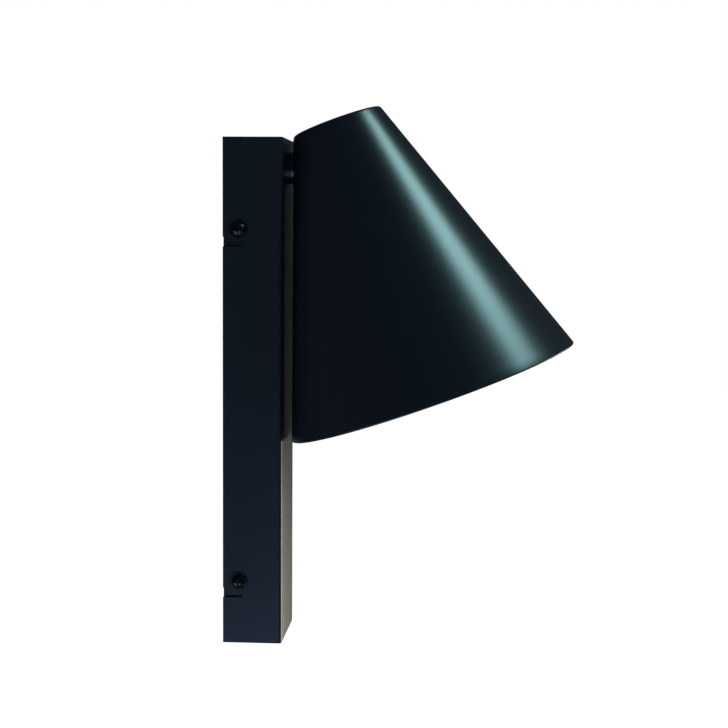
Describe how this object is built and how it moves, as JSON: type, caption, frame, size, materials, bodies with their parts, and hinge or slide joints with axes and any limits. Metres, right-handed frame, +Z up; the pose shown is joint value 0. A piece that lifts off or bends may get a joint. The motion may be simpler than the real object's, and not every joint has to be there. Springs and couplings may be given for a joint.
{
  "type": "wall light",
  "caption": "Slim box-section wall light with a tilted conical metal shade that swivels on one hollow pivot near the top of its screw-on housing.",
  "frame": {"origin": "middle of the two wall screws, on the wall's surface, which is also the middle of the housing's height and width", "axes": "+Z up; +Y into the wall, so the light stands out towards -Y; X across the wall"},
  "size_m": [0.1793, 0.2068, 0.3196],
  "materials": {
    "powder_coat": "satin near-black powder coat, fine grain",
    "black_zinc_screw": "black-coated steel screw",
    "zinc_plate": "bright zinc plate",
    "nickel_plate": "nickel plate",
    "brass": "plain brass",
    "black_bakelite": "moulded black thermoset",
    "steatite": "unglazed steatite",
    "white_plastic": "moulded white polycarbonate",
    "nylon": "natural nylon",
    "black_rubber": "moulded rubber",
    "cable_sheath": "white PVC sheath",
    "core_brown": "brown PVC",
    "core_blue": "blue PVC",
    "core_green": "green and yellow PVC",
    "opal": "frosted opal polycarbonate",
    "spring_steel": "blued spring steel"
  },
  "bodies": {
    "wall_unit": {"wall_bracket": "powder_coat", "tab_nuts": "zinc_plate", "housing_cover": "powder_coat", "cover_screws": "black_zinc_screw", "cover_screw_washers": "black_zinc_screw", "cable_entry_bush": "black_rubber", "terminal_block": "white_plastic", "terminal_barrels": "brass", "terminal_screws": "zinc_plate", "terminal_block_screws": "zinc_plate", "cord_clamp": "nylon", "cord_clamp_screws": "zinc_plate", "earth_screw": "zinc_plate", "earth_washer": "zinc_plate", "earth_lug": "brass", "earth_wire": "core_green", "lamp_cable_box_side": "cable_sheath", "core_live": "core_brown", "core_neutral": "core_blue", "core_earth": "core_green", "pivot_collar": "powder_coat", "outer_friction_washer": "nylon", "inner_friction_washer": "nylon", "stop_pin": "zinc_plate"},
    "shade_unit": {"pivot_stem": "zinc_plate", "pivot_saddle": "powder_coat", "inner_saddle": "zinc_plate", "stop_washer": "zinc_plate", "wave_spring": "spring_steel", "thrust_washer": "zinc_plate", "stem_lock_nuts": "zinc_plate", "shade_lock_washer": "zinc_plate", "shade_nut": "zinc_plate", "stem_end_bushes": "nylon", "shade": "powder_coat", "lampholder_bracket": "zinc_plate", "lampholder_nipple": "zinc_plate", "nipple_nut": "zinc_plate", "lampholder_cap": "black_bakelite", "lampholder_insulator": "steatite", "lampholder_shell": "brass", "lampholder_contact": "brass", "lampholder_skirt": "black_bakelite", "lamp_cable_shade_side": "cable_sheath", "bulb_screw_cap": "nickel_plate", "bulb_insulator": "black_bakelite", "bulb_contact": "nickel_plate", "bulb_housing": "white_plastic", "bulb_globe": "opal"}
  },
  "joints": [
    {"name": "shade_swivel", "type": "hinge", "parent": "wall_unit", "child": "shade_unit", "pos_m": [0, -0.035, 0.1325], "axis": [0, -1, 0], "range_deg": [-160, 160]}
  ]
}
